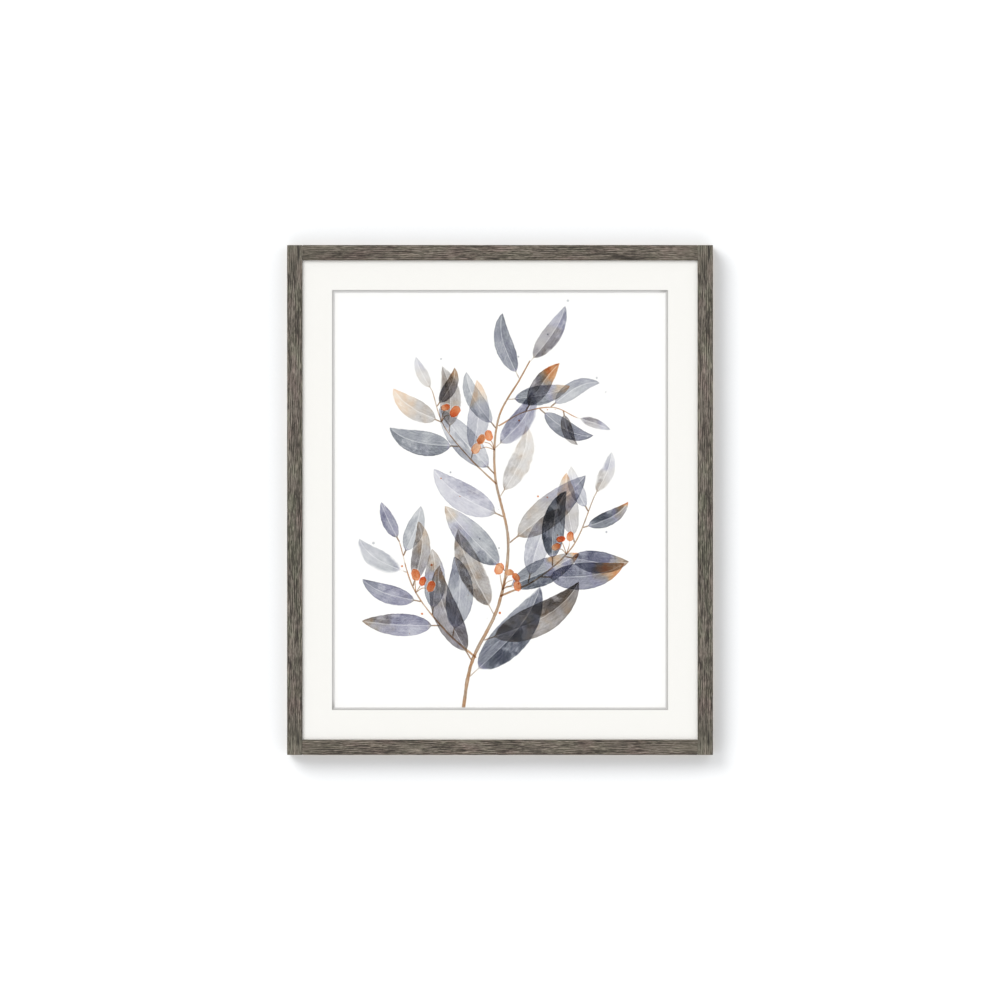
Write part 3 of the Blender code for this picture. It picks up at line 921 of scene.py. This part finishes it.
def layer_depth(m, number, sheet_where, tooth, granules):
    """How much light one layer of paint takes up, red, green and blue."""
    depth, run, offset = m.split(m.attr(f"place_{number}"))
    density, hue, dry = m.split(m.attr(f"paint_{number}"))
    wide, soft, glaze = m.split(m.attr(f"edge_{number}"))

    there = m.vector("ADD", sheet_where, (31.0 * number, 0, 17.0 * number))
    wander = m.math("SUBTRACT", m.noise(there, 0.16, detail=2), 0.5)
    ragged = m.math("SUBTRACT", m.noise(there, 0.95, detail=3, roughness=0.6), 0.5)
    centred = m.math("SUBTRACT", wide, m.math("ABSOLUTE", offset))
    inside = m.math("MINIMUM", m.math("ADD", depth, 0.5), centred)
    room = m.between(wide, 0.5, 3.0, 0.35, 1.0)
    shift = m.math("MULTIPLY_ADD", wander, 1.7, m.math("MULTIPLY", ragged, 0.75))
    inside = m.math("MULTIPLY_ADD", shift, room, inside)
    cover = m.between(inside, -0.1, soft)

    follow = m.node("ShaderNodeCombineXYZ", {"X": m.math("MULTIPLY", run, 0.055),
                                             "Y": m.math("MULTIPLY", offset, 0.62),
                                             "Z": 3.1 * number}).outputs[0]
    hairs = m.noise(follow, 1.0, detail=3, roughness=0.6)
    strength = m.between(hairs, 0.3, 0.7, 0.78, 1.22, smooth=False)
    rim = m.between(inside, 0.15, 1.25, 1.0, 0.0)
    rim = m.math("MULTIPLY", rim, m.between(soft, 0.3, 1.2, 0.5, 0.0))
    strength = m.math("MULTIPLY", strength, m.math("ADD", rim, 1.0))
    strength = m.math("MULTIPLY", strength, granules)

    is_leaf = m.math("GREATER_THAN", m.math("ABSOLUTE", glaze), 0.01)
    bent = m.math("MULTIPLY_ADD", wander, 1.1, offset)
    second = second_glaze(m, glaze, bent, there)
    strength = m.math("MULTIPLY", strength, m.math("ADD", second, 1.0))
    lifted = lifted_veins(m, is_leaf, bent, run, wander, wide)
    strength = m.math("MULTIPLY", strength, m.math("SUBTRACT", 1.0, lifted))

    skips = m.math("MULTIPLY_ADD", hairs, 0.55, m.math("MULTIPLY", tooth, 0.45))
    skips = m.math("SUBTRACT", skips, m.math("MULTIPLY_ADD", dry, 0.32, 0.2))
    cover = m.math("MULTIPLY", cover, m.between(skips, 0.0, 0.035))
    amount = m.math("MULTIPLY", m.math("MULTIPLY", strength, density), cover)

    tint = m.ramp(hue, [(at, tuple(k / PIGMENT_SCALE for k in taken) + (1.0,))
                        for at, taken in PIGMENTS])
    amount = m.math("MULTIPLY", amount, PIGMENT_SCALE)
    return m.vector("SCALE", tint, scale=amount)


def spatter_depth(m, sheet_where):
    """Drops flicked off the brush round the sprig."""
    chance = m.split(m.attr("spatter"))[0]
    drops = m.node("ShaderNodeTexVoronoi", {"Vector": sheet_where, "Scale": 0.085,
                                            "Randomness": 1.0}, voronoi_dimensions="3D")
    pick = m.node("ShaderNodeSeparateColor", {"Color": drops.outputs["Color"]}).outputs
    size = m.math("MULTIPLY_ADD", m.math("POWER", pick[0], 4.0), 0.13, 0.022)
    wobble = m.math("SUBTRACT", m.noise(sheet_where, 0.8, detail=1), 0.5)
    inside = m.math("SUBTRACT", size, m.math("MULTIPLY_ADD", wobble, 0.05,
                                             drops.outputs["Distance"]))
    cover = m.between(inside, 0.0, 0.02)
    chosen = m.math("GREATER_THAN", chance, pick[1])
    amount = m.math("MULTIPLY", m.math("MULTIPLY", cover, chosen),
                    m.between(pick[2], 0, 1, 0.3, 0.95))
    warm = m.math("GREATER_THAN", pick[2], 0.72)
    tint = m.mix(warm, (1.585, 1.50, 1.355, 1), (0.45, 1.6, 2.7, 1))
    return m.vector("SCALE", tint, scale=amount)


def watercolour(layers):
    """Paper, with each layer's paint taking its share out of the light."""
    m = Shader("watercolour_print")
    where = m.place(MM)
    tooth = m.noise(where, 0.62, detail=3, roughness=0.6)
    grain = m.noise(where, 1.5, detail=3, roughness=0.7)
    granules = m.math("MULTIPLY_ADD", m.math("SUBTRACT", grain, 0.5), 0.9,
                      m.between(tooth, 0.3, 0.7, 1.14, 0.86, smooth=False))
    total = spatter_depth(m, where)
    for number in range(layers):
        total = m.vector("ADD", total, layer_depth(m, number, where, tooth, granules))
    red, green, blue = [m.math("EXPONENT", m.math("MULTIPLY", part, -1.0))
                        for part in m.split(total)]
    through = m.node("ShaderNodeCombineColor", {"Red": red, "Green": green, "Blue": blue})
    paper = m.ramp(tooth, [(0.3, (0.816, 0.812, 0.800, 1)), (0.7, (0.842, 0.839, 0.830, 1))])
    m.set(Base_Color=m.mix(1.0, paper, through.outputs[0], "MULTIPLY"))
    m.set(Roughness=m.between(grain, 0.3, 0.7, 0.9, 0.78))
    m.set(Specular_IOR_Level=0.2)
    m.bump(m.math("MULTIPLY_ADD", grain, 0.4, tooth), 0.1 * MM, 0.45)
    return m.material


def build_print():
    xs, zs = sheet_grid()
    layers = share_layers(design(), xs, zs)
    mesh, points = sheet_mesh(xs, zs)
    spare = points - len(xs) * len(zs)
    for number, layer in enumerate(layers):
        for key in ("place", "paint", "edge"):
            values = layer[key].reshape(-1, 3)
            values = np.concatenate([values, np.tile([FAR, 0, 0], (spare, 1))])
            attribute(mesh, f"{key}_{number}", *values.T)
    near = np.max([layer["place"][..., 0] for layer in layers], axis=0)
    chance = 0.55 * smoothstep(-19.9, -8, near) + 0.05
    attribute(mesh, "spatter", np.concatenate([chance.ravel(), np.zeros(spare)]))
    mesh.materials.append(watercolour(len(layers)))
    mesh.shade_smooth()
    mesh.set_sharp_from_angle(angle=math.radians(40))
    piece = bpy.data.objects.new(mesh.name, mesh)
    bpy.context.scene.collection.objects.link(piece)
    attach(piece, "root")
    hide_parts("print_sheet")


# ---------------------------------------------------------------- the back


def hardboard():
    """Brown pressed fibre board, with the wire screen's pattern on its rough side."""
    m = Shader("hardboard")
    where = m.place()
    fibres = m.noise(m.vector("MULTIPLY", where, (1, 1, 1.9)), 640, detail=5, roughness=0.65,
                     distortion=0.5)
    cloud = m.noise(where, 11, detail=3)
    shade = m.ramp(fibres, [
        (0.25, colour(84, 58, 38)),
        (0.50, colour(112, 81, 55)),
        (0.78, colour(141, 107, 76)),
    ])
    shade = m.mix(m.between(cloud, 0.35, 0.7, 0, 0.4), shade, colour(126, 96, 70))
    scuff = m.between(m.noise(m.vector("MULTIPLY", where, (30, 1, 210)), detail=3), 0.66, 0.74)
    shade = m.mix(m.math("MULTIPLY", scuff, 0.3), shade, colour(158, 126, 96))
    x, _, z = m.split(where)
    weave = m.math("MULTIPLY", m.math("SINE", m.math("MULTIPLY", x, 3600)),
                   m.math("SINE", m.math("MULTIPLY", z, 3600)))
    m.set(Base_Color=shade, Roughness=m.between(fibres, 0.3, 0.7, 0.82, 0.7))
    m.set(Specular_IOR_Level=0.3)
    m.bump(m.math("MULTIPLY_ADD", weave, 0.35, fibres), 0.3 * MM, 0.6)
    return m.material


def worn_metal(name, dark, pale, rough, brushed=(60, 60, 900)):
    """Plated steel with fine drawing lines, smudges and dull spots."""
    m = Shader(name)
    where = m.place()
    lines = m.noise(m.vector("MULTIPLY", where, brushed), detail=3, roughness=0.6)
    smudge = m.noise(where, 240, detail=3, roughness=0.6)
    spots = m.between(m.noise(where, 1500, detail=2), 0.66, 0.78)
    shade = m.mix(m.between(lines, 0.3, 0.7), dark, pale)
    shade = m.mix(m.math("MULTIPLY", spots, 0.35), shade, m.mix(0.5, dark, (0.1, 0.085, 0.07, 1)))
    gloss = m.between(smudge, 0.35, 0.7, rough - 0.07, rough + 0.14)
    m.set(Base_Color=shade, Roughness=m.math("MULTIPLY_ADD", spots, 0.12, gloss), Metallic=1.0)
    m.bump(m.math("MULTIPLY_ADD", lines, 0.6, smudge), 0.04 * MM, 0.4)
    return m.material


def rubber():
    m = Shader("bumper_rubber")
    where = m.place()
    grain = m.noise(where, 1900, detail=3, roughness=0.65)
    dust = m.between(m.noise(where, 330, detail=3), 0.45, 0.7, 0, 0.4)
    shade = m.ramp(grain, [(0.3, colour(49, 49, 48)), (0.7, colour(71, 71, 70))])
    m.set(Base_Color=m.mix(dust, shade, colour(108, 105, 99)))
    m.set(Roughness=m.between(grain, 0.3, 0.7, 0.86, 0.72))
    m.bump(grain, 0.06 * MM, 0.5)
    return m.material


def finish_back():
    finishes = {
        "backing_board": hardboard(),
        "retaining_tab": worn_metal("tab_steel", colour(132, 132, 131), colour(172, 172, 170), 0.34),
        "joint_staple": worn_metal("staple_wire", colour(150, 149, 144), colour(186, 184, 178),
                                   0.36, brushed=(900, 900, 60)),
        "sawtooth_hanger": worn_metal("hanger_steel", colour(146, 141, 130),
                                      colour(196, 190, 175), 0.32, brushed=(40, 300, 1500)),
        "hanger_nail": worn_metal("nail_steel", colour(166, 160, 143), colour(205, 198, 178), 0.28),
        "wall_bumper": rubber(),
    }
    for name in NODES:
        for kind, material in finishes.items():
            if name.startswith(kind):
                paint(name, material)


# ---------------------------------------------------------------- camera, light and wall


def add_camera():
    """Square on to the picture from far off, the whole frame in view with the wall round it."""
    low, high = CAD_BOX
    middle = (low + high) / 2
    data = bpy.data.cameras.new("camera")
    data.lens = LENS
    data.sensor_width = SENSOR
    distance = (high.z - low.z) / FRAME_SHARE * LENS / SENSOR
    camera = bpy.data.objects.new("camera", data)
    camera.location = (middle.x, low.y - distance, middle.z)
    camera.rotation_euler = (math.radians(90), 0, 0)
    bpy.context.scene.collection.objects.link(camera)
    bpy.context.scene.camera = camera
    bpy.context.scene.view_settings.view_transform = "Standard"


def add_light():
    """A bright even room, and a broad window up on the left that throws a soft shadow."""
    world = bpy.data.worlds.new("room")
    world.use_nodes = True
    background = world.node_tree.nodes["Background"]
    background.inputs["Color"].default_value = (1, 1, 1, 1)
    background.inputs["Strength"].default_value = WORLD_LIGHT
    bpy.context.scene.world = world
    data = bpy.data.lights.new("window", "SUN")
    data.energy = SUN_LIGHT
    data.angle = SUN_SOFTNESS
    sun = bpy.data.objects.new("window", data)
    sun.rotation_mode = "QUATERNION"
    sun.rotation_quaternion = SUN_FROM.to_track_quat("Z", "Y")
    bpy.context.scene.collection.objects.link(sun)


def wall_paint():
    """Flat white paint seen from the room; nothing at all seen from behind."""
    m = Shader("wall_paint")
    roller = m.noise(m.place(), 300, detail=3)
    m.set(Base_Color=m.ramp(roller, [(0.3, (0.86, 0.87, 0.88, 1)), (0.7, (0.87, 0.88, 0.89, 1))]))
    m.set(Roughness=0.95)
    m.set(Specular_IOR_Level=0.0)
    clear = m.node("ShaderNodeBsdfTransparent")
    behind = m.node("ShaderNodeNewGeometry").outputs["Backfacing"]
    both = m.node("ShaderNodeMixShader", {0: behind, 1: m.bsdf, 2: clear})
    m.plug(m.output.inputs["Surface"], both)
    return m.material


def add_wall():
    """The white wall that the bumpers rest on."""
    y, reach = CAD_BOX[1].y, 4.0
    mesh = bpy.data.meshes.new("wall")
    corners = [(-reach, y, -reach), (reach, y, -reach), (reach, y, reach), (-reach, y, reach)]
    mesh.from_pydata(corners, [], [(0, 1, 2, 3)])
    mesh.materials.append(wall_paint())
    wall = bpy.data.objects.new("wall", mesh)
    bpy.context.scene.collection.objects.link(wall)
    wall.visible_shadow = False
    wall.visible_diffuse = False
    wall.visible_glossy = False


def main():
    build_frame()
    paint("mat_board", mat_paper())
    paint("glazing", clear_acrylic())
    build_print()
    finish_back()
    add_camera()
    add_light()
    add_wall()
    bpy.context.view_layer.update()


main()
